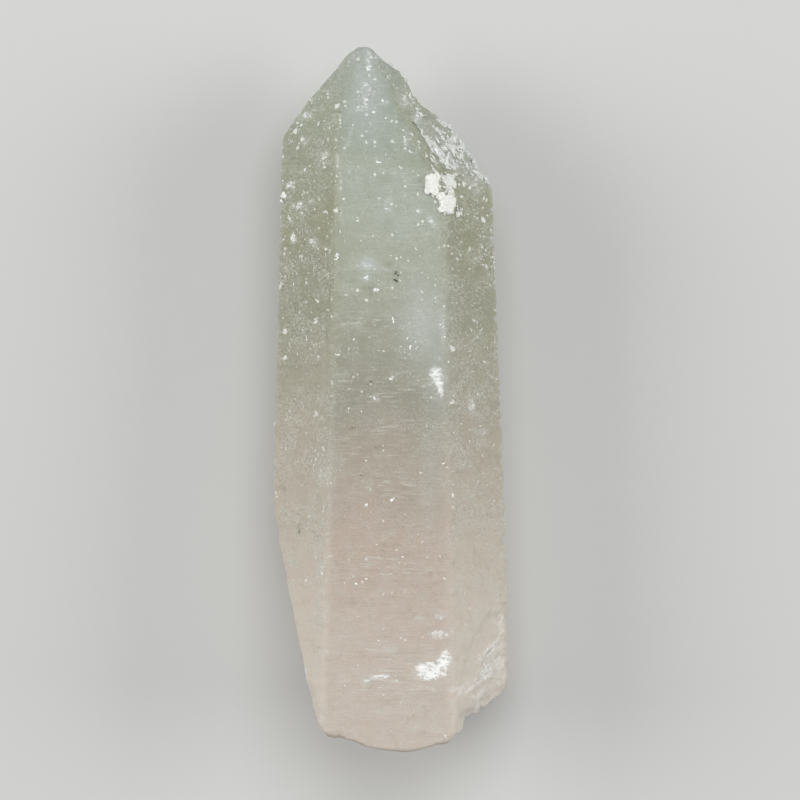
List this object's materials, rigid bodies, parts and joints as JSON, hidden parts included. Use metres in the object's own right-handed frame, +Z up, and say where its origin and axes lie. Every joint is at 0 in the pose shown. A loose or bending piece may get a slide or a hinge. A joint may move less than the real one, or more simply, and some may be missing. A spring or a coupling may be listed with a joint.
{
  "type": "quartz crystal point",
  "caption": "Six-sided quartz crystal, pale green from actinolite, with one pointed tip, a rough broken shoulder and a shell-like broken foot.",
  "frame": {"origin": "centre of the footprint, at the height of the face that the crystal lies on", "axes": "+Y along the crystal towards its tip, +Z up from the resting face, +X to the right as seen from above with the tip up"},
  "size_m": [0.0196, 0.0584, 0.0164],
  "materials": {
    "green_quartz": "translucent quartz with frosted faces, blue-grey green at the tip and warmer towards the foot",
    "crust": "opaque white crust and sugary grains, dull",
    "actinolite": "dark green specks, dull"
  },
  "bodies": {
    "root": {"quartz_crystal": "green_quartz"}
  },
  "joints": []
}
